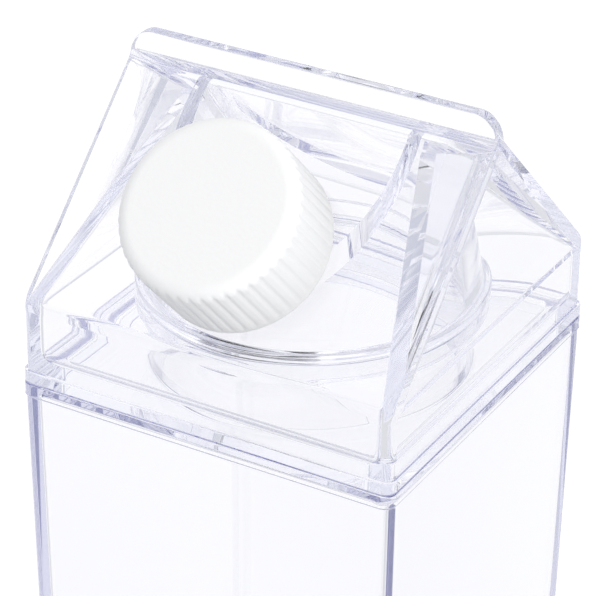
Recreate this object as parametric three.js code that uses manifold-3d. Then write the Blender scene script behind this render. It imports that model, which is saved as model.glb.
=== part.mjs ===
// Clear plastic water bottle in the shape of a gabled drink carton.
// A square bottle body, a gable top that presses onto the body's round neck,
// and a white screw cap on a spout in the front roof panel.
// Millimetres, +Z up, front towards -Y, origin at the middle of the underside.
import * as THREE from 'three';
import { ConvexGeometry } from 'three/addons/geometries/ConvexGeometry.js';
import { mergeVertices } from 'three/addons/utils/BufferGeometryUtils.js';
import Module from 'manifold-3d';

// Whole bottle
const WIDTH = 71.8;
const RIM_HEIGHT = 122;
const WALL = 2.2;
const FIT_GAP = 0.3;

// Square body
const BASE_WIDTH = 68.6;
const BODY_CORNER = 2.2;
const BODY_WALL = 2.4;
const FLOOR = 3;
const FOOT_CHAMFER = 1.2;
const LIP_HEIGHT = 2.6;
const LIP_STEP = 0.15;
const RIM_BAND = 2.15;
const NECK_RADIUS = 27.2;
const NECK_BORE = 25;
const NECK_RISE = 9.6;

// Gable top, heights over the rim
const LEDGE_WIDTH = 60;
const LEDGE_RISE = 0.3;
const LEDGE_BEVEL = 2;
const SKIRT_WIDTH = 70.6;
const SKIRT_CORNER = 1.5;
const EAVE_RISE = 12.6;
const EAVE_BEND = 2;
const RIDGE_WIDTH = 70.2;
const RIDGE_RISE = 45.65;
const FIN_HEIGHT = 4.75;
const FIN_THICKNESS = 2.6;
const FIN_CORNER = 4.5;
const FIN_ROOT = 3;
const ROOF_WALL = 1.9;
const ROOF_EDGE = 2;
const FOLD_INSET = 10.7;
const FOLD_DROP = 5.35;
const MOUTH_DROP = 1;
const PIT_REACH = 1.3;

// Funnel-shaped chamber under the roof, and the collar that grips the neck
const FUNNEL_TOP = 21;
const FUNNEL_FOOT = 28.2;
const COLLAR_RADIUS = 29.7;
const COLLAR_LOW = 7.2;
const COLLAR_TOP = 12.3;

// Spout and cap, on an axis square to the front roof panel
const SPOUT_DISTANCE = 19.5;
const SPOUT_RADIUS = 12.4;
const SPOUT_BORE = 10.4;
const SPOUT_LENGTH = 14;
const SPOUT_SLEEVE = 13;
const FLANGE_RADIUS = 14.4;
const FLANGE_HEIGHT = 1.2;
const CAP_RADIUS = 15.8;
const CAP_HEIGHT = 16.8;
const CAP_ROUNDING = 2.6;
const CAP_TOP_WALL = 2.4;
const CAP_BORE = 13;
const CAP_RIBS = 48;
const CAP_RIB_DEPTH = 0.45;
const CAP_BAND = 2;

// Fineness of the round shapes
const CORNER_STEPS = 5;
const ROUND_STEPS = 72;
const ROUNDING_STEPS = 5;
const OVERLAP = 1;

const wasm = await Module();
wasm.setup();

// A closed geometry as a solid with its faces pointing out.
function solid(geometry) {
  const bare = geometry.clone();
  bare.deleteAttribute('normal');
  bare.deleteAttribute('uv');
  const merged = mergeVertices(bare, 1e-4);
  const position = merged.attributes.position;
  const corners = [0, 1, 2].map(() => new THREE.Vector3());
  const triangles = [];
  let volume = 0;
  for (let i = 0; i < merged.index.count; i += 3) {
    const triangle = [0, 1, 2].map((k) => merged.index.getX(i + k));
    if (new Set(triangle).size < 3) continue;
    triangle.forEach((vertex, k) => corners[k].fromBufferAttribute(position, vertex));
    volume += corners[0].dot(corners[1].clone().cross(corners[2]));
    triangles.push(triangle);
  }
  const outward = volume > 0 ? triangles : triangles.map(([a, b, c]) => [a, c, b]);
  return new wasm.Manifold(new wasm.Mesh({
    numProp: 3,
    vertProperties: new Float32Array(position.array),
    triVerts: new Uint32Array(outward.flat()),
  }));
}

// A solid as a named mesh.
function meshOf(name, shape, material) {
  const data = shape.getMesh();
  const geometry = new THREE.BufferGeometry();
  geometry.setAttribute('position', new THREE.Float32BufferAttribute(data.vertProperties, 3));
  geometry.setIndex(Array.from(data.triVerts));
  geometry.computeVertexNormals();
  const mesh = new THREE.Mesh(geometry, material);
  mesh.name = name;
  return mesh;
}

// The outline of a square with rounded corners at one height.
function roundedSquare(width, radius, z) {
  const reach = width / 2 - radius;
  const outline = [];
  for (let corner = 0; corner < 4; corner += 1) {
    const start = corner * Math.PI / 2;
    const middle = start + Math.PI / 4;
    for (let step = 0; step <= CORNER_STEPS; step += 1) {
      const angle = start + (Math.PI / 2) * (step / CORNER_STEPS);
      const x = reach * Math.SQRT2 * Math.cos(middle) + radius * Math.cos(angle);
      const y = reach * Math.SQRT2 * Math.sin(middle) + radius * Math.sin(angle);
      outline.push(new THREE.Vector3(x, y, z));
    }
  }
  return outline;
}

// A closed solid through rounded squares, each given as [width, radius, z].
function squareLoft(levels) {
  const rings = levels.map(([width, radius, z]) => roundedSquare(width, radius, z));
  const count = rings[0].length;
  const last = rings.length - 1;
  const points = rings.flat();
  const bottom = points.push(new THREE.Vector3(0, 0, levels[0][2])) - 1;
  const top = points.push(new THREE.Vector3(0, 0, levels[last][2])) - 1;
  const index = [];
  for (let i = 0; i < count; i += 1) {
    const next = (i + 1) % count;
    for (let ring = 0; ring < last; ring += 1) {
      const a = ring * count + i;
      const b = ring * count + next;
      index.push(a, b, b + count, a, b + count, a + count);
    }
    index.push(bottom, next, i, top, last * count + i, last * count + next);
  }
  const geometry = new THREE.BufferGeometry().setFromPoints(points);
  geometry.setIndex(index);
  return solid(geometry);
}

// A turned solid about Z from [radius, z] points that start and end on the axis.
function turned(profile) {
  const points = profile.map(([radius, z]) => new THREE.Vector2(radius, z));
  const geometry = new THREE.LatheGeometry(points, ROUND_STEPS);
  return solid(geometry.rotateX(Math.PI / 2));
}

// A plain cylinder about Z.
function cylinder(radius, low, high) {
  return turned([[0, low], [radius, low], [radius, high], [0, high]]);
}

// The convex solid round a set of points.
function hull(points) {
  return solid(new ConvexGeometry(points.map((point) => new THREE.Vector3(...point))));
}

// Rise of the roof per millimetre towards the ridge, and the matching slope angle.
const ROOF_RISE = (RIDGE_RISE - EAVE_RISE) / (SKIRT_WIDTH / 2 - FIN_THICKNESS / 2);
const ROOF_SLOPE = Math.atan(ROOF_RISE);

// Height over the rim of the roof surface, set in by a depth square to it.
function roofHeight(y, depth) {
  return EAVE_RISE + ROOF_RISE * (SKIRT_WIDTH / 2 - Math.abs(y)) - depth / Math.cos(ROOF_SLOPE);
}

// The body: tapered square bottle with a lip, a flat deck and a round neck.
function buildBody() {
  const lipLow = RIM_HEIGHT - RIM_BAND - LIP_HEIGHT;
  const lipTop = RIM_HEIGHT - RIM_BAND - FIT_GAP;
  const neckTop = RIM_HEIGHT + NECK_RISE;
  const upperWidth = WIDTH - 2 * LIP_STEP;
  const inside = (width) => width - 2 * BODY_WALL;
  const insideCorner = BODY_CORNER - BODY_WALL / 2;
  const outer = squareLoft([
    [BASE_WIDTH - 2 * FOOT_CHAMFER, BODY_CORNER, 0],
    [BASE_WIDTH, BODY_CORNER, FOOT_CHAMFER],
    [upperWidth, BODY_CORNER, lipLow - LIP_STEP],
    [WIDTH, BODY_CORNER, lipLow],
    [WIDTH, BODY_CORNER, lipTop],
  ]);
  const neck = cylinder(NECK_RADIUS, lipTop - OVERLAP, neckTop);
  const hollow = squareLoft([
    [inside(BASE_WIDTH), insideCorner, FLOOR],
    [inside(upperWidth), insideCorner, lipTop - BODY_WALL],
  ]);
  const bore = cylinder(NECK_BORE, lipTop - BODY_WALL - OVERLAP, neckTop + OVERLAP);
  return outer.add(neck).subtract(hollow).subtract(bore);
}

// The gable form over the rim: an upright skirt with rounded corners, a bend of a given length
// on both sides of the eave, and a roof that closes at a ridge.
function gableForm(skirtWidth, low, eave, bend, ridgeWidth, ridgeThickness, ridge) {
  const half = skirtWidth / 2;
  const bendLow = eave - bend;
  const skirt = squareLoft([[skirtWidth, SKIRT_CORNER, low], [skirtWidth, SKIRT_CORNER, bendLow]]);
  const roof = roundedSquare(skirtWidth, SKIRT_CORNER, bendLow).map((point) => point.toArray());
  for (const sx of [-1, 1]) {
    for (const sy of [-1, 1]) {
      const bendY = half - bend * Math.cos(ROOF_SLOPE);
      roof.push([sx * half, sy * bendY, eave + bend * Math.sin(ROOF_SLOPE)]);
      roof.push([sx * ridgeWidth / 2, sy * ridgeThickness / 2, ridge]);
    }
  }
  return skirt.add(hull(roof));
}

// The pit of one folded end, as the point of a pyramid driven into the gable.
// Its three faces are the end panel and the two flaps, moved in by a wall.
function foldPit(side, wall) {
  const edgeRun = ROOF_EDGE / Math.sin(ROOF_SLOPE);
  const apex = new THREE.Vector3(RIDGE_WIDTH / 2 - FOLD_INSET, 0, RIDGE_RISE - FOLD_DROP);
  const mouth = [
    new THREE.Vector3(SKIRT_WIDTH / 2, edgeRun - SKIRT_WIDTH / 2, EAVE_RISE - MOUTH_DROP),
    new THREE.Vector3(SKIRT_WIDTH / 2, SKIRT_WIDTH / 2 - edgeRun, EAVE_RISE - MOUTH_DROP),
    new THREE.Vector3(RIDGE_WIDTH / 2, 0, roofHeight(0, ROOF_EDGE)),
  ];
  const rays = mouth.map((point) => point.clone().sub(apex));
  const normals = rays.map((ray, i) => ray.clone().cross(rays[(i + 1) % 3]).normalize());
  const facing = Math.sign(normals[0].dot(rays[2]));
  const planes = new THREE.Matrix3().set(...normals.flatMap((normal) => normal.toArray()));
  const shift = new THREE.Vector3(-wall * facing, -wall * facing, -wall * facing);
  const tip = shift.applyMatrix3(planes.invert()).add(apex);
  const reach = PIT_REACH + (wall > 0 ? 1 : 0);
  const points = [tip, ...rays.map((ray) => ray.clone().multiplyScalar(reach).add(tip))];
  return hull(points.map((point) => [side * point.x, point.y, point.z]));
}

// The upright fin along the ridge, its upper corners rounded.
function ridgeFin() {
  const half = RIDGE_WIDTH / 2;
  const top = RIDGE_RISE + FIN_HEIGHT;
  const outline = new THREE.Shape();
  outline.moveTo(-half, RIDGE_RISE - FIN_ROOT);
  outline.lineTo(half, RIDGE_RISE - FIN_ROOT);
  outline.lineTo(half, top - FIN_CORNER);
  outline.absarc(half - FIN_CORNER, top - FIN_CORNER, FIN_CORNER, 0, Math.PI / 2);
  outline.lineTo(FIN_CORNER - half, top);
  outline.absarc(FIN_CORNER - half, top - FIN_CORNER, FIN_CORNER, Math.PI / 2, Math.PI);
  const settings = { depth: FIN_THICKNESS, bevelEnabled: false, curveSegments: CORNER_STEPS };
  const geometry = new THREE.ExtrudeGeometry(outline, settings);
  geometry.rotateX(Math.PI / 2);
  return solid(geometry.translate(0, FIN_THICKNESS / 2, 0));
}

// Turns and moves a solid made about Z onto the spout's axis, its foot on the roof.
const SPOUT_TURN = THREE.MathUtils.radToDeg(ROOF_SLOPE);
const SPOUT_FOOT = new THREE.Vector3(0, -SPOUT_DISTANCE - FIN_THICKNESS / 2, 0);
SPOUT_FOOT.z = roofHeight(SPOUT_FOOT.y, 0);
function onSpout(shape) {
  return shape.rotate([SPOUT_TURN, 0, 0]).translate(SPOUT_FOOT.toArray());
}

// The gable top: folded carton roof, skirt, rim with an inner ledge, funnel, collar and spout.
function buildGableTop() {
  const form = gableForm(SKIRT_WIDTH, 0, EAVE_RISE, EAVE_BEND, RIDGE_WIDTH, FIN_THICKNESS, RIDGE_RISE);
  const rim = squareLoft([[WIDTH, BODY_CORNER, -RIM_BAND], [WIDTH, BODY_CORNER, 0]]);
  const pits = foldPit(-1, 0).add(foldPit(1, 0));
  const envelope = form.subtract(pits);

  const insideWidth = SKIRT_WIDTH - 2 * WALL;
  const footTop = LEDGE_RISE + LEDGE_BEVEL;
  const foot = squareLoft([
    [LEDGE_WIDTH, SKIRT_CORNER, -RIM_BAND - OVERLAP],
    [LEDGE_WIDTH, SKIRT_CORNER, LEDGE_RISE],
    [insideWidth - 2 * LEDGE_BEVEL, SKIRT_CORNER, LEDGE_RISE],
    [insideWidth, SKIRT_CORNER, footTop],
    [insideWidth, SKIRT_CORNER, footTop + OVERLAP],
  ]);
  const insideForm = gableForm(insideWidth, footTop, roofHeight(insideWidth / 2, ROOF_WALL),
    EAVE_BEND / 2, RIDGE_WIDTH - 2 * WALL, 0, roofHeight(0, ROOF_WALL));
  const inside = insideForm.subtract(foldPit(-1, WALL)).subtract(foldPit(1, WALL)).add(foot);
  const shell = envelope.add(rim).add(ridgeFin().subtract(pits)).subtract(inside);

  const stepLow = COLLAR_TOP - WALL;
  const grip = COLLAR_RADIUS - WALL;
  const chamber = turned([
    [0, COLLAR_LOW], [COLLAR_RADIUS, COLLAR_LOW], [COLLAR_RADIUS, COLLAR_TOP],
    [FUNNEL_FOOT, COLLAR_TOP], [FUNNEL_TOP, RIDGE_RISE], [0, RIDGE_RISE],
  ]);
  const chamberHollow = turned([
    [0, COLLAR_LOW - OVERLAP], [grip, COLLAR_LOW - OVERLAP], [grip, stepLow],
    [NECK_BORE, stepLow], [FUNNEL_TOP - WALL, RIDGE_RISE], [0, RIDGE_RISE],
  ]);
  const inner = chamber.subtract(chamberHollow).intersect(envelope);

  const tube = onSpout(cylinder(SPOUT_RADIUS, -SPOUT_SLEEVE, SPOUT_LENGTH)).subtract(chamberHollow);
  const tubeOutside = onSpout(cylinder(SPOUT_RADIUS, 0, SPOUT_LENGTH));
  const flange = onSpout(cylinder(FLANGE_RADIUS, -ROOF_WALL / 2, FLANGE_HEIGHT));
  const spoutBore = onSpout(cylinder(SPOUT_BORE, -SPOUT_SLEEVE - OVERLAP, SPOUT_LENGTH + OVERLAP));
  return shell.add(inner).add(tube).add(tubeOutside).add(flange).subtract(spoutBore);
}

// The cap about its own axis: ribbed side, plain foot band, rounded face, blind bore.
function buildCap() {
  const outline = new THREE.Shape();
  const valley = CAP_RADIUS - CAP_RIB_DEPTH;
  for (let rib = 0; rib < CAP_RIBS; rib += 1) {
    const pitch = 2 * Math.PI / CAP_RIBS;
    [valley, CAP_RADIUS].forEach((radius, half) => {
      const angle = pitch * (rib + half / 2);
      const place = [radius * Math.cos(angle), radius * Math.sin(angle)];
      if (rib + half === 0) outline.moveTo(...place);
      else outline.lineTo(...place);
    });
  }
  const ribbed = solid(new THREE.ExtrudeGeometry(outline, { depth: CAP_HEIGHT, bevelEnabled: false }));
  const profile = [[0, 0], [CAP_RADIUS, 0]];
  for (let step = 0; step <= ROUNDING_STEPS; step += 1) {
    const angle = (Math.PI / 2) * (step / ROUNDING_STEPS);
    profile.push([CAP_RADIUS - CAP_ROUNDING * (1 - Math.cos(angle)),
      CAP_HEIGHT - CAP_ROUNDING * (1 - Math.sin(angle))]);
  }
  profile.push([0, CAP_HEIGHT]);
  const band = cylinder(CAP_RADIUS, 0, CAP_BAND);
  const bore = cylinder(CAP_BORE, -OVERLAP, CAP_HEIGHT - CAP_TOP_WALL);
  return ribbed.intersect(turned(profile)).add(band).subtract(bore);
}

const clearPlastic = { color: 0xeef0fa, roughness: 0.05, metalness: 0, transparent: true, opacity: 0.35 };
const whitePlastic = { color: 0xf6f6f3, roughness: 0.35, metalness: 0 };

const bottle = new THREE.Group();
bottle.add(meshOf('body', buildBody(), new THREE.MeshStandardMaterial(clearPlastic)));

const top = new THREE.Group();
top.position.z = RIM_HEIGHT;
top.add(meshOf('gable_top', buildGableTop(), new THREE.MeshStandardMaterial(clearPlastic)));
const cap = meshOf('cap', buildCap(), new THREE.MeshStandardMaterial(whitePlastic));
const axis = new THREE.Vector3(0, -Math.sin(ROOF_SLOPE), Math.cos(ROOF_SLOPE));
cap.rotation.x = ROOF_SLOPE;
cap.position.copy(SPOUT_FOOT).addScaledVector(axis, FLANGE_HEIGHT + FIT_GAP);
top.add(cap);
bottle.add(top);

export default bottle;
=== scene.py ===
"""Looks of a clear plastic water bottle in the shape of a gabled drink carton.

The square body, the gable top with its folded ends and the ribbed cap are worked out
in millimetres in the bottle's own frame, and put into meshes in metres.
"""

import bmesh
import bpy
import numpy as np
from mathutils import Matrix, Vector


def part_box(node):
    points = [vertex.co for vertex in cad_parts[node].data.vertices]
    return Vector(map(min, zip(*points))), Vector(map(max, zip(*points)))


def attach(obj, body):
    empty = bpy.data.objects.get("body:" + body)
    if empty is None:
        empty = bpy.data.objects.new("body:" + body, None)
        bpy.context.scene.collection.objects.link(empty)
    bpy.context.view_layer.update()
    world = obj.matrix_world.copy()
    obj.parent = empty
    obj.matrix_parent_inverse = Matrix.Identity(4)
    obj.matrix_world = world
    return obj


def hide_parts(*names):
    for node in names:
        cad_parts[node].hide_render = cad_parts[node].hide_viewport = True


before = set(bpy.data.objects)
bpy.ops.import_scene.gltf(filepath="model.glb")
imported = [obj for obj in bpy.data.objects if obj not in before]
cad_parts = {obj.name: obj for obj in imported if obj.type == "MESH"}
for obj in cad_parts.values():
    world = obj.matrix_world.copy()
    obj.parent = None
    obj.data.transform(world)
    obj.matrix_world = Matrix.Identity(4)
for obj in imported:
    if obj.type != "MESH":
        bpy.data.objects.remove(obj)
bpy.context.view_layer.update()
MM = 0.001

# Whole bottle: the width, the rim's height and the fin's top come from the frame
BODY_BOX = np.array(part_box("body")) / MM
TOP_BOX = np.array(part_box("gable_top")) / MM
WIDTH = BODY_BOX[1, 0] - BODY_BOX[0, 0]
RIM_BAND = 2.15
RIM = TOP_BOX[0, 2] + RIM_BAND
FIN_TOP = TOP_BOX[1, 2] - RIM
WALL = 2.2
FIT_GAP = 0.3

# Square body, then the cut lengths of its rounded edges
BASE_WIDTH = 68.6
BODY_CORNER = 2.2
BODY_WALL = 2.4
BODY_FLOOR = 3
LIP_HEIGHT = 2.6
LIP_STEP = 0.15
NECK_RADIUS = 27.2
NECK_BORE = 25
NECK_RISE = 9.6
FOOT_ROUND = 1.2
LIP_FILLET = 0.3
LIP_ROUND = 0.25
NECK_ROUND = 0.5
BORE_ROUND = 0.6
SHOULDER_FILLET = 0.8
BODY_FLOOR_FILLET = 1.6

# Gable top with heights over the rim, then the cut lengths of its rounded edges
LEDGE_WIDTH = 60
LEDGE_RISE = 1
SKIRT_WIDTH = 70.6
SKIRT_CORNER = 1.5
EAVE_RISE = 12.6
RIDGE_WIDTH = 70.2
RIDGE_RISE = 45.65
INNER_RIDGE = 1
FIN_THICKNESS = 2.6
FIN_CORNER = 4.5
ROOF_WALL = 1.9
RAKE_CORNER = 0.4
CORNER_SHARE = 0.8
RIM_LOW_ROUND = 0.25
RIM_TOP_ROUND = 0.35
LEDGE_ROUND = 0.3
FOOT_FILLET = 2.6
EAVE_BEND = 2
INNER_BEND = 0.4
FIN_FILLET = 1
FIN_ROUND = 0.5

# Folded ends: each is a pit, scaled by its reach from the inner point where the panels meet
FOLD_INSET = 10.7
FOLD_DROP = 5.35
FOLD_ROUND = 1.6
ROOF_EDGE = 2
MOUTH_DROP = 1
PIT_REACH = 1.3
INNER_PIT_REACH = 2.3

# Funnel-shaped chamber under the roof, and the collar that grips the neck
FUNNEL_TOP = 21
FUNNEL_FOOT = 28.2
COLLAR_RADIUS = 29.7
COLLAR_LOW = 7.2
COLLAR_TOP = 12.3
FUNNEL_FILLET = 0.8
COLLAR_TOP_ROUND = 0.6
COLLAR_FOOT_ROUND = 0.5
GRIP_FOOT_ROUND = 0.4
GRIP_STEP_ROUND = 0.5

# Spout and cap, on an axis square to the front roof panel
SPOUT_DISTANCE = 19.5
SPOUT_RADIUS = 12.4
SPOUT_BORE = 10.4
SPOUT_LENGTH = 14
SPOUT_SLEEVE = 13
SPOUT_ROUND = 0.4
FLANGE_RADIUS = 14.4
FLANGE_HEIGHT = 1.2
FLANGE_ROUND = 0.5
FLANGE_FILLET = 0.3
CAP_RADIUS = 15.8
CAP_HEIGHT = 16.8
CAP_ROUNDING = 2.6
CAP_TOP_WALL = 2.4
CAP_BORE = 13
CAP_BAND = 2
CAP_FOOT_ROUND = 0.5
CAP_MOUTH_ROUND = 0.3
CAP_INNER_FILLET = 0.6
CAP_RIBS = 48
CAP_RIB_DEPTH = 0.45
RIB_FADE = 1
RIB_EDGE = 0.6

# Fineness of the round shapes, and the small lengths that keep their meshes clean
CORNER_STEPS = 24
ROUND_STEPS = 160
ROUNDING_STEPS = 6
CAP_ROUNDING_STEPS = 12
RIB_STEPS = 14
PROFILE_STEP = 1.2
PROFILE_DIGITS = 4
OVERLAP = 1
AXIS_GAP = 0.02
SAME_POINT = 1e-6
MERGE_GAP = 0.0005
SHARP_ANGLE = 32
FACE_WEIGHT = 100

# Finishes: waves over a metre, with their depth in metres, and the tint's density over a metre
CLEAR_WAVES = 45
CLEAR_WAVE_DEPTH = 0.0004
CLEAR_WAVE_STRENGTH = 0.012
CLEAR_COLOUR = (0.975, 0.975, 0.985, 1)
CLEAR_REFRACTION = 1.5
TINT_COLOUR = (0.28, 0.29, 0.64, 1)
BODY_TINT = 6.5
TOP_TINT = 2.8
WHITE_WAVES = 1400
WHITE_WAVE_DEPTH = 0.0003
WHITE_WAVE_STRENGTH = 0.08
WHITE_COLOUR = (0.76, 0.76, 0.755, 1)
WHITE_REFRACTION = 1.48
WHITE_SMOOTHEST = 0.3
WHITE_ROUGHEST = 0.42

# Camera, fitted to the bottle's straight edges, with its angles in degrees
IMAGE_WIDTH_PX = 600
FOCAL_PX = 2935.96
SENSOR = 36
CLIP_START = 10
CAMERA_AZIMUTH = 29.857
CAMERA_ELEVATION = 28.965
CAMERA_ROLL = 0.680
CAMERA_DISTANCE = 567.9
CAMERA_AIM = np.array([-28.14, 45.91, RIM - 22.72])

# Light: a painted white pool of light glowing on the floor behind the bottle, a pale dome, and a lamp for
# the cap's side
FLOOR_HALF = 3000
FLOOR_POINTS = 5
FLOOR_GAP = 0.05
FLOOR_ROUGHNESS = 0.9
FLOOR_BASE = (0, 0, 0, 1)
FLOOR_GLOW_GREY = (0.72, 0.73, 0.76, 1)
POOL_GLOW_WHITE = (1.06, 1.06, 1.06, 1)
POOL_DISTANCE = 260
POOL_INNER = 190
POOL_OUTER = 320
DOME_FRONT = (1.22, 1.22, 1.22, 1)
DOME_BACK = (1, 1.01, 1.05, 1)
DOME_SIDES = (0.62, 0.64, 0.73, 1)
DOME_BACK_START = -1
DOME_BACK_END = -0.3
DOME_SIDE_START = 0.6
DOME_SIDE_END = 0.9
LAMP_SIZE = 500
LAMP_DISTANCE = 900
LAMP_DIRECTION = (1, -0.3, 0.2)
LAMP_POWER = 4.5
LIGHT_BOUNCES = 128

ROOF_RISE = (RIDGE_RISE - EAVE_RISE) / (SKIRT_WIDTH / 2 - FIN_THICKNESS / 2)
ROOF_SLOPE = np.arctan(ROOF_RISE)
VIEW_BACK = np.array([np.sin(np.radians(CAMERA_AZIMUTH)), -np.cos(np.radians(CAMERA_AZIMUTH)), 0])
VIEW_RIGHT = np.array([np.cos(np.radians(CAMERA_AZIMUTH)), np.sin(np.radians(CAMERA_AZIMUTH)), 0])


def roof_height(y, depth):
    """Height over the rim of the roof's surface at y, set in by a depth square to it."""
    return EAVE_RISE + ROOF_RISE * (SKIRT_WIDTH / 2 - abs(y)) - depth / np.cos(ROOF_SLOPE)


def rounded_path(rows, steps=ROUNDING_STEPS, dimensions=2):
    """A path whose corners are rounded by parabolas.

    Each row gives a corner P, and last its cut length. P is replaced by
    (1-s)^2 A + 2 s (1-s) P + s^2 B for s from 0 to 1, where A and B lie the cut length before and
    after P, measured in the first dimensions. A corner with cut 0 stays sharp.
    """
    rows = np.array(rows, float)
    corners, cuts = rows[:, :-1], rows[:, -1:]
    before = np.roll(corners, 1, axis=0) - corners
    after = np.roll(corners, -1, axis=0) - corners
    start = corners + before * cuts / np.linalg.norm(before[:, :dimensions], axis=1, keepdims=True)
    end = corners + after * cuts / np.linalg.norm(after[:, :dimensions], axis=1, keepdims=True)
    s = np.linspace(0, 1, steps + 1)[None, :, None]
    curve = (1 - s) ** 2 * start[:, None] + 2 * s * (1 - s) * corners[:, None] + s**2 * end[:, None]
    path = curve.reshape(-1, corners.shape[1])
    step = np.linalg.norm(path - np.roll(path, 1, axis=0), axis=1)
    return path[step > SAME_POINT]


def rounded_rings(half_x, half_y, height, radius):
    """Level rings of rounded rectangles, one for each row of half sizes, height and corner radius.

    Each corner is an arc of the radius about a centre that lies the radius inside both sides.
    """
    half_x, half_y, height, radius = (value[:, None] for value in (half_x, half_y, height, radius))
    start = np.repeat(np.arange(4) * np.pi / 2, CORNER_STEPS + 1)
    angle = start + np.tile(np.linspace(0, np.pi / 2, CORNER_STEPS + 1), 4)
    x = (half_x - radius) * np.sign(np.cos(start + np.pi / 4)) + radius * np.cos(angle)
    y = (half_y - radius) * np.sign(np.sin(start + np.pi / 4)) + radius * np.sin(angle)
    return np.stack([x, y, height + 0 * x], axis=-1)


def square_rings(path):
    """Rounded squares from rows of half width, height and corner radius."""
    half, height, radius = path.T
    return rounded_rings(half, half, height, radius)


def turned_rings(path, steps=ROUND_STEPS):
    """Circles about the upright axis from rows of radius and height."""
    radius, height = path.T[:, :, None]
    angle = np.arange(steps) * 2 * np.pi / steps
    return np.stack([radius * np.cos(angle), radius * np.sin(angle), height + 0 * angle], axis=-1)


def grid_faces(rows, columns, closed):
    """Quads between neighbouring rings of a grid, the last ring joined to the first if closed."""
    index = np.arange(rows * columns).reshape(rows, columns)
    above = np.roll(index, -1, axis=0)
    beside = np.roll(index, -1, axis=1)
    quads = np.stack([index, beside, np.roll(above, -1, axis=1), above], axis=-1)
    return (quads if closed else quads[:-1]).reshape(-1, 4).tolist()


def clean(mesh):
    """Merges points that lie together, removes faces without area and turns all faces outward."""
    shape = bmesh.new()
    shape.from_mesh(mesh)
    bmesh.ops.remove_doubles(shape, verts=shape.verts, dist=MERGE_GAP * MM)
    bmesh.ops.dissolve_degenerate(shape, edges=shape.edges, dist=MERGE_GAP * MM)
    bmesh.ops.recalc_face_normals(shape, faces=shape.faces)
    shape.to_mesh(mesh)
    shape.free()


def solid(name, rings, closed=False):
    """A closed mesh through rings of points.

    The last ring is joined to the first, or else the first and the last are each filled by a face.
    """
    rows, columns = rings.shape[:2]
    faces = grid_faces(rows, columns, closed)
    if not closed:
        faces += [list(range(columns))[::-1], list(range((rows - 1) * columns, rows * columns))]
    mesh = bpy.data.meshes.new(name)
    mesh.from_pydata((rings.reshape(-1, 3) * MM).tolist(), [], faces)
    clean(mesh)
    piece = bpy.data.objects.new(name, mesh)
    bpy.context.scene.collection.objects.link(piece)
    return piece


def carve(base, *steps):
    """Joins, cuts or overlaps a solid with others in turn, and removes those others."""
    for operation, tool in steps:
        modifier = base.modifiers.new(operation, "BOOLEAN")
        modifier.operation = operation
        modifier.solver = "EXACT"
        modifier.object = tool
    ready = base.evaluated_get(bpy.context.evaluated_depsgraph_get())
    mesh = bpy.data.meshes.new_from_object(ready)
    clean(mesh)
    base.modifiers.clear()
    base.data = mesh
    for _, tool in steps:
        bpy.data.objects.remove(tool)
    return base


def finish_piece(piece, node, material):
    """Smooth shading up to the sharp edges, the finish, and the node that the piece stands for."""
    piece.data.polygons.foreach_set("use_smooth", np.ones(len(piece.data.polygons), bool))
    piece.data.set_sharp_from_angle(angle=np.radians(SHARP_ANGLE))
    piece.data.materials.clear()
    piece.data.materials.append(material)
    normals = piece.modifiers.new("even_normals", "WEIGHTED_NORMAL")
    normals.weight = FACE_WEIGHT
    normals.keep_sharp = True
    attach(piece, "root")
    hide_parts(node)


def bottle_body():
    """The square bottle as one skin of rounded squares.

    They follow a section of half width, height and corner radius with rounded edges, up the
    outside, over the neck and down the inside. Flat faces in the first and the last square close
    the underside and the floor.
    """
    lip_low = RIM - RIM_BAND - LIP_HEIGHT
    lip_top = RIM - RIM_BAND - FIT_GAP
    neck_top = RIM + NECK_RISE
    upper = WIDTH / 2 - LIP_STEP
    base = BASE_WIDTH / 2
    inner_corner = BODY_CORNER - BODY_WALL / 2
    section = [
        (base - 2 * FOOT_ROUND, 0, BODY_CORNER, 0),
        (base, 0, BODY_CORNER, FOOT_ROUND),
        (upper, lip_low - LIP_STEP, BODY_CORNER, LIP_FILLET),
        (WIDTH / 2, lip_low, BODY_CORNER, LIP_ROUND),
        (WIDTH / 2, lip_top, BODY_CORNER, LIP_ROUND),
        (NECK_RADIUS, lip_top, NECK_RADIUS, NECK_ROUND),
        (NECK_RADIUS, neck_top, NECK_RADIUS, NECK_ROUND),
        (NECK_BORE, neck_top, NECK_BORE, NECK_ROUND),
        (NECK_BORE, lip_top - BODY_WALL, NECK_BORE, BORE_ROUND),
        (upper - BODY_WALL, lip_top - BODY_WALL, inner_corner, SHOULDER_FILLET),
        (base - BODY_WALL, BODY_FLOOR, inner_corner, BODY_FLOOR_FILLET),
        (base - 4 * BODY_WALL, BODY_FLOOR, inner_corner, 0),
    ]
    return solid("bottle_body", square_rings(rounded_path(section)))


def place_on_rim(rings):
    """Lifts rings with heights over the rim to their place."""
    return rings + np.array([0, 0, RIM])


def end_reach(height):
    """How far the gable's ends stand out: upright skirt, leaning roof end, fin with a round corner."""
    lean = np.clip((height - EAVE_RISE) / (RIDGE_RISE - EAVE_RISE), 0, 1)
    reach = SKIRT_WIDTH / 2 + (RIDGE_WIDTH - SKIRT_WIDTH) / 2 * lean
    rise = np.clip((height - FIN_TOP) / FIN_CORNER + 1, 0, 1)
    return reach - FIN_CORNER * (1 - np.sqrt(1 - rise**2))


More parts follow.
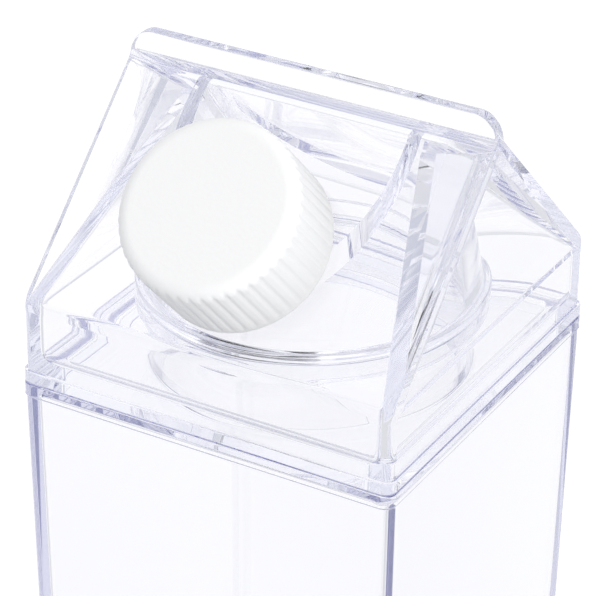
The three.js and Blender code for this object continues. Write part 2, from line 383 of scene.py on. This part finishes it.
def gable_solid(name, profile, inset):
    """Rounded rectangles stacked over a gable profile of half depth, height and cut length.

    At each height the half length is the ends' reach less the inset. The corners are round on
    the skirt and go over to the sharper rake edges above the eave.
    """
    path = rounded_path(profile)
    run = np.append(0, np.cumsum(np.linalg.norm(np.diff(path, axis=0), axis=1)))
    steps = np.linspace(0, run[-1], int(run[-1] / PROFILE_STEP))
    steps = np.unique(np.concatenate([run, steps]).round(PROFILE_DIGITS))
    half_y, height = (np.interp(steps, run, path[:, k]) for k in (0, 1))
    rake = np.clip((height - EAVE_RISE + EAVE_BEND) / (2 * EAVE_BEND), 0, 1)
    radius = SKIRT_CORNER + (RAKE_CORNER - SKIRT_CORNER) * rake
    radius = np.minimum(radius, CORNER_SHARE * half_y)
    half_x = np.where(height < EAVE_RISE - EAVE_BEND, half_y, end_reach(height) - inset)
    return solid(name, place_on_rim(rounded_rings(half_x, half_y, height, radius)))


def fold_pit(side, wall):
    """The pit of one folded end: a rounded triangle scaled from the fold's inner point.

    The point where the three panels meet is moved so that each panel is set in by the wall.
    """
    apex = np.array([RIDGE_WIDTH / 2 - FOLD_INSET, 0, RIDGE_RISE - FOLD_DROP])
    low_y = SKIRT_WIDTH / 2 - ROOF_EDGE / np.sin(ROOF_SLOPE)
    low = EAVE_RISE - MOUTH_DROP
    mouth = [
        (SKIRT_WIDTH / 2, -low_y, low),
        (SKIRT_WIDTH / 2, low_y, low),
        (RIDGE_WIDTH / 2, 0, roof_height(0, ROOF_EDGE)),
    ]
    rays = np.array(mouth) - apex
    normals = np.cross(rays, np.roll(rays, -1, axis=0))
    normals /= np.linalg.norm(normals, axis=1, keepdims=True)
    facing = np.sign(normals[0] @ rays[2])
    tip = apex + np.linalg.solve(normals, np.full(3, -wall * facing))
    outline = rounded_path(np.column_stack([rays, np.full(3, FOLD_ROUND)]), dimensions=3)
    reach = INNER_PIT_REACH if wall else PIT_REACH
    rings = tip + np.array([0, reach])[:, None, None] * outline
    return solid("fold_pit", place_on_rim(rings * np.array([side, 1, 1])))


def folded_gable(name, profile, inset):
    """A gable solid with the pits of both folded ends taken out."""
    gable = gable_solid(name, profile, inset)
    return carve(gable, ("DIFFERENCE", fold_pit(1, inset)), ("DIFFERENCE", fold_pit(-1, inset)))


def gable_core(name, share, foot):
    """The gable and its folded ends set in by a share of their walls, on a foot of profile rows."""
    half = SKIRT_WIDTH / 2 - share * WALL
    depth = share * ROOF_WALL
    top = roof_height(0, depth) - ROOF_RISE * INNER_RIDGE
    roof = [
        (half, roof_height(half, depth), INNER_BEND),
        (INNER_RIDGE, top, INNER_BEND),
        (INNER_RIDGE / 2, top, 0),
    ]
    return folded_gable(name, foot + roof, share * WALL)


def place_on_spout(rings):
    """Turns rings made about the upright axis onto the spout's axis, their foot on the roof."""
    foot_y = -SPOUT_DISTANCE - FIN_THICKNESS / 2
    cos, sin = np.cos(ROOF_SLOPE), np.sin(ROOF_SLOPE)
    turn = np.array([[1, 0, 0], [0, cos, -sin], [0, sin, cos]])
    return rings @ turn.T + np.array([0, foot_y, RIM + roof_height(foot_y, 0)])


def tube(name, section, place):
    """A ring turned from a closed section of radius, height and cut length, moved by a place function."""
    return solid(name, place(turned_rings(rounded_path(section))), closed=True)


def plug(name, foot, top, place):
    """A round or tapered solid between the radius and height of its foot and its top, for cutting."""
    return solid(name, place(turned_rings(np.array([foot, top], float))))


def gable_rim():
    """The rim under the skirt: rounded squares over a section of half width, height and corner radius."""
    core = LEDGE_WIDTH / 2 - OVERLAP
    section = [
        (core, -RIM_BAND, BODY_CORNER, 0),
        (WIDTH / 2, -RIM_BAND, BODY_CORNER, RIM_LOW_ROUND),
        (WIDTH / 2, 0, BODY_CORNER, RIM_TOP_ROUND),
        (core, 0, BODY_CORNER, 0),
    ]
    return solid("rim", place_on_rim(square_rings(rounded_path(section))))


def funnel_chamber():
    """The funnel with the collar at its foot, cut off in the middle of the roof's walls."""
    step = COLLAR_TOP - WALL
    grip = COLLAR_RADIUS - WALL
    section = [
        (FUNNEL_TOP, RIDGE_RISE, 0),
        (FUNNEL_FOOT, COLLAR_TOP, FUNNEL_FILLET),
        (COLLAR_RADIUS, COLLAR_TOP, COLLAR_TOP_ROUND),
        (COLLAR_RADIUS, COLLAR_LOW, COLLAR_FOOT_ROUND),
        (grip, COLLAR_LOW, GRIP_FOOT_ROUND),
        (grip, step, GRIP_STEP_ROUND),
        (NECK_BORE, step, GRIP_STEP_ROUND),
        (FUNNEL_TOP - WALL, RIDGE_RISE, 0),
    ]
    chamber = tube("chamber", section, place_on_rim)
    middle = gable_core("middle", share=0.5, foot=[(SKIRT_WIDTH / 2 - WALL / 2, 0, 0)])
    return carve(chamber, ("INTERSECT", middle))


def flanged_spout():
    """The spout and its flange, without the part that would stand in the chamber.

    Its bore is a little narrow until it is drilled.
    """
    core = SPOUT_BORE - OVERLAP
    seat = -ROOF_WALL / 2
    section = [
        (core, -SPOUT_SLEEVE, 0),
        (SPOUT_RADIUS, -SPOUT_SLEEVE, 0),
        (SPOUT_RADIUS, seat, 0),
        (FLANGE_RADIUS, seat, 0),
        (FLANGE_RADIUS, FLANGE_HEIGHT, FLANGE_ROUND),
        (SPOUT_RADIUS, FLANGE_HEIGHT, FLANGE_FILLET),
        (SPOUT_RADIUS, SPOUT_LENGTH, SPOUT_ROUND),
        (core, SPOUT_LENGTH, 0),
    ]
    spout = tube("spout", section, place_on_spout)
    hollow_foot = (NECK_BORE + WALL / 2, COLLAR_LOW - OVERLAP)
    hollow = plug("hollow", hollow_foot, (FUNNEL_TOP - WALL / 2, RIDGE_RISE), place_on_rim)
    return carve(spout, ("DIFFERENCE", hollow))


def gable_top():
    """The clear top: folded roof shell on a rim, with the chamber, the collar and the spout joined in."""
    eave = SKIRT_WIDTH / 2
    fin = FIN_THICKNESS / 2
    profile = [
        (eave, -RIM_BAND / 2, 0),
        (eave, EAVE_RISE, EAVE_BEND),
        (fin, RIDGE_RISE, FIN_FILLET),
        (fin, FIN_TOP, FIN_ROUND),
        (fin / 2, FIN_TOP, 0),
    ]
    form = folded_gable("gable_roof", profile, 0)
    foot = [
        (LEDGE_WIDTH / 2, -RIM_BAND - OVERLAP, 0),
        (LEDGE_WIDTH / 2, LEDGE_RISE, LEDGE_ROUND),
        (eave - WALL, LEDGE_RISE, FOOT_FILLET),
    ]
    inside = gable_core("inside", share=1, foot=foot)
    drill_foot = (SPOUT_BORE, -SPOUT_SLEEVE - OVERLAP)
    drill = plug("drill", drill_foot, (SPOUT_BORE, SPOUT_LENGTH + OVERLAP), place_on_spout)
    return carve(
        form,
        ("UNION", gable_rim()),
        ("DIFFERENCE", inside),
        ("UNION", funnel_chamber()),
        ("UNION", flanged_spout()),
        ("DIFFERENCE", drill),
    )


def ribbed_cap():
    """The cap turned about the spout's axis, its side waved by ribs.

    Between the foot band and the face's edge the radius is lowered by the rib depth times the
    square of (1 - cos(ribs a)) / 2 at each angle a, which leaves narrow grooves between round ribs.
    """
    inner_top = CAP_HEIGHT - CAP_TOP_WALL
    section = [
        (CAP_BORE, 0, CAP_MOUTH_ROUND),
        (CAP_RADIUS, 0, CAP_FOOT_ROUND),
        (CAP_RADIUS, CAP_BAND, 0),
        (CAP_RADIUS, CAP_HEIGHT, CAP_ROUNDING),
        (0, CAP_HEIGHT, 0),
        (0, inner_top, 0),
        (CAP_BORE, inner_top, CAP_INNER_FILLET),
    ]
    path = rounded_path(section, CAP_ROUNDING_STEPS)
    path[:, 0] = np.maximum(path[:, 0], AXIS_GAP)
    steps = CAP_RIBS * RIB_STEPS
    rings = turned_rings(path, steps)
    angle = np.arange(steps) * 2 * np.pi / steps
    groove = ((1 - np.cos(CAP_RIBS * angle)) / 2) ** 2
    radius, height = path.T[:, :, None]
    lower = np.clip((height - CAP_BAND) / RIB_FADE, 0, 1)
    upper = np.clip((CAP_HEIGHT - RIB_EDGE - height) / CAP_ROUNDING, 0, 1)
    side = (radius > CAP_RADIUS - CAP_ROUNDING) * lower * upper
    rings[..., :2] *= (1 - side * CAP_RIB_DEPTH * groove / radius)[..., None]
    rings = place_on_spout(rings + np.array([0, 0, FLANGE_HEIGHT + FIT_GAP]))
    return solid("ribbed_cap", rings, closed=True)


def moulded_surface():
    """Node group: soft waves of a moulded surface, and a roughness that varies with them."""
    group = bpy.data.node_groups.new("moulded_surface", "ShaderNodeTree")
    for name in ("Wave Scale", "Smoothest", "Roughest"):
        group.interface.new_socket(name, in_out="INPUT", socket_type="NodeSocketFloat")
    for name in ("Height", "Roughness"):
        group.interface.new_socket(name, in_out="OUTPUT", socket_type="NodeSocketFloat")
    nodes, links = group.nodes, group.links
    given, given_out = nodes.new("NodeGroupInput"), nodes.new("NodeGroupOutput")
    place = nodes.new("ShaderNodeTexCoord")
    wave = nodes.new("ShaderNodeTexNoise")
    wave.inputs["Detail"].default_value = 0.0
    links.new(place.outputs["Object"], wave.inputs["Vector"])
    links.new(given.outputs["Wave Scale"], wave.inputs["Scale"])
    links.new(wave.outputs["Fac"], given_out.inputs["Height"])
    gloss = nodes.new("ShaderNodeMapRange")
    links.new(wave.outputs["Fac"], gloss.inputs["Value"])
    links.new(given.outputs["Smoothest"], gloss.inputs["To Min"])
    links.new(given.outputs["Roughest"], gloss.inputs["To Max"])
    links.new(gloss.outputs["Result"], given_out.inputs["Roughness"])
    return group


def new_material(name, surface, waves, depth, strength):
    """A Principled material whose normal comes from the waves of the moulded surface."""
    material = bpy.data.materials.new(name)
    material.use_nodes = True
    nodes, links = material.node_tree.nodes, material.node_tree.links
    shader = nodes["Principled BSDF"]
    skin = nodes.new("ShaderNodeGroup")
    skin.node_tree = surface
    skin.inputs["Wave Scale"].default_value = waves
    bump = nodes.new("ShaderNodeBump")
    bump.inputs["Strength"].default_value = strength
    bump.inputs["Distance"].default_value = depth
    links.new(skin.outputs["Height"], bump.inputs["Height"])
    links.new(bump.outputs["Normal"], shader.inputs["Normal"])
    return material, shader, skin


def clear_plastic(name, surface, density):
    """Polished clear plastic that turns lavender where light runs through a lot of it."""
    material, shader, _ = new_material(name, surface, CLEAR_WAVES, CLEAR_WAVE_DEPTH, CLEAR_WAVE_STRENGTH)
    shader.inputs["Base Color"].default_value = CLEAR_COLOUR
    shader.inputs["Roughness"].default_value = 0.0
    shader.inputs["Transmission Weight"].default_value = 1.0
    shader.inputs["IOR"].default_value = CLEAR_REFRACTION
    nodes, links = material.node_tree.nodes, material.node_tree.links
    tint = nodes.new("ShaderNodeVolumeAbsorption")
    tint.inputs["Color"].default_value = TINT_COLOUR
    tint.inputs["Density"].default_value = density
    links.new(tint.outputs["Volume"], nodes["Material Output"].inputs["Volume"])
    return material


def white_plastic(name, surface):
    """Satin white plastic of the cap."""
    material, shader, skin = new_material(name, surface, WHITE_WAVES, WHITE_WAVE_DEPTH, WHITE_WAVE_STRENGTH)
    skin.inputs["Smoothest"].default_value = WHITE_SMOOTHEST
    skin.inputs["Roughest"].default_value = WHITE_ROUGHEST
    material.node_tree.links.new(skin.outputs["Roughness"], shader.inputs["Roughness"])
    shader.inputs["Base Color"].default_value = WHITE_COLOUR
    shader.inputs["IOR"].default_value = WHITE_REFRACTION
    return material


def measured(tree, operation, coordinates, vector):
    """A number from the place of each point: its distance from a vector, or its share along it."""
    place = tree.nodes.new("ShaderNodeTexCoord")
    measure = tree.nodes.new("ShaderNodeVectorMath")
    measure.operation = operation
    measure.inputs[1].default_value = vector
    tree.links.new(place.outputs[coordinates], measure.inputs[0])
    return measure.outputs["Value"]


def graded(tree, value, low, high, first, second):
    """A colour that runs from the first at the value's low mark to the second at its high mark."""
    ramp = tree.nodes.new("ShaderNodeMapRange")
    ramp.interpolation_type = "SMOOTHSTEP"
    ramp.inputs["From Min"].default_value = low
    ramp.inputs["From Max"].default_value = high
    tree.links.new(value, ramp.inputs["Value"])
    blend = tree.nodes.new("ShaderNodeMix")
    blend.data_type = "RGBA"
    tree.links.new(ramp.outputs["Result"], blend.inputs["Factor"])
    for name, colour in (("A", first), ("B", second)):
        if isinstance(colour, tuple):
            blend.inputs[name].default_value = colour
        else:
            tree.links.new(colour, blend.inputs[name])
    return blend.outputs["Result"]


def studio_floor():
    """A glowing floor, not a lit one: a flat grid of quads with a black base whose emission paints a white
    pool of light behind the bottle and grey light further out.
    """
    axis = np.linspace(-FLOOR_HALF, FLOOR_HALF, FLOOR_POINTS)
    x, y = np.meshgrid(axis, axis)
    points = np.stack([x, y, 0 * x - FLOOR_GAP], axis=-1).reshape(-1, 3) * MM
    index = np.arange(FLOOR_POINTS**2).reshape(FLOOR_POINTS, FLOOR_POINTS)
    quads = np.stack([index[:-1, :-1], index[:-1, 1:], index[1:, 1:], index[1:, :-1]], axis=-1)
    mesh = bpy.data.meshes.new("floor")
    mesh.from_pydata(points.tolist(), [], quads.reshape(-1, 4).tolist())
    floor = bpy.data.objects.new("floor", mesh)
    bpy.context.scene.collection.objects.link(floor)
    material = bpy.data.materials.new("glowing_floor")
    material.use_nodes = True
    tree = material.node_tree
    shader = tree.nodes["Principled BSDF"]
    shader.inputs["Base Color"].default_value = FLOOR_BASE
    shader.inputs["Roughness"].default_value = FLOOR_ROUGHNESS
    shader.inputs["Emission Strength"].default_value = 1.0
    # Painted light: the floor's emission is white in a pool behind the bottle and fades to grey further out
    distance = measured(tree, "DISTANCE", "Object", -POOL_DISTANCE * MM * VIEW_BACK)
    glow = graded(tree, distance, POOL_INNER * MM, POOL_OUTER * MM, POOL_GLOW_WHITE, FLOOR_GLOW_GREY)
    tree.links.new(glow, shader.inputs["Emission Color"])
    floor.data.materials.append(material)


def studio_light():
    """Soft light from a pale dome that is a little darker behind the bottle and at both sides."""
    world = bpy.data.worlds.new("studio")
    bpy.context.scene.world = world
    world.use_nodes = True
    tree = world.node_tree
    towards = measured(tree, "DOT_PRODUCT", "Generated", VIEW_BACK)
    dome = graded(tree, towards, DOME_BACK_START, DOME_BACK_END, DOME_BACK, DOME_FRONT)
    across = tree.nodes.new("ShaderNodeMath")
    across.operation = "ABSOLUTE"
    tree.links.new(measured(tree, "DOT_PRODUCT", "Generated", VIEW_RIGHT), across.inputs[0])
    dome = graded(tree, across.outputs["Value"], DOME_SIDE_START, DOME_SIDE_END, dome, DOME_SIDES)
    tree.links.new(dome, tree.nodes["Background"].inputs["Color"])


def side_lamp():
    """A large square lamp that lights the cap's ribbed side and leaves no glare on the plastic."""
    lamp = bpy.data.lights.new("side_lamp", "AREA")
    lamp.size = LAMP_SIZE * MM
    lamp.energy = LAMP_POWER
    light = bpy.data.objects.new("side_lamp", lamp)
    bpy.context.scene.collection.objects.link(light)
    towards = Vector(LAMP_DIRECTION).normalized()
    light.location = towards * LAMP_DISTANCE * MM + Vector((0, 0, RIM * MM))
    light.rotation_euler = towards.to_track_quat("Z", "Y").to_euler()
    light.visible_camera = False
    light.visible_glossy = False
    light.visible_transmission = False


def photo_camera():
    """The camera at the fitted place, its axes turned by azimuth, elevation and roll."""
    elevation, roll = np.radians([CAMERA_ELEVATION, CAMERA_ROLL])
    back = np.cos(elevation) * VIEW_BACK + np.array([0, 0, np.sin(elevation)])
    upright = np.cross(back, VIEW_RIGHT)
    right = np.cos(roll) * VIEW_RIGHT + np.sin(roll) * upright
    up = np.cos(roll) * upright - np.sin(roll) * VIEW_RIGHT
    place = np.identity(4)
    place[:3, :3] = np.stack([right, up, back], axis=-1)
    place[:3, 3] = (CAMERA_AIM + CAMERA_DISTANCE * back) * MM
    lens = bpy.data.cameras.new("photo_camera")
    lens.sensor_width = SENSOR
    lens.lens = FOCAL_PX / IMAGE_WIDTH_PX * SENSOR
    lens.clip_start = CLIP_START * MM
    camera = bpy.data.objects.new("photo_camera", lens)
    bpy.context.scene.collection.objects.link(camera)
    camera.matrix_world = Matrix(place.tolist())
    bpy.context.scene.camera = camera


photo_camera()
studio_floor()
studio_light()
side_lamp()
bpy.context.scene.view_settings.view_transform = "Standard"
bpy.context.scene.cycles.max_bounces = LIGHT_BOUNCES
bpy.context.scene.cycles.transmission_bounces = LIGHT_BOUNCES
bpy.context.scene.cycles.glossy_bounces = LIGHT_BOUNCES

moulded = moulded_surface()
finish_piece(bottle_body(), "body", clear_plastic("clear_body", moulded, BODY_TINT))
finish_piece(gable_top(), "gable_top", clear_plastic("clear_top", moulded, TOP_TINT))
finish_piece(ribbed_cap(), "cap", white_plastic("satin_white", moulded))
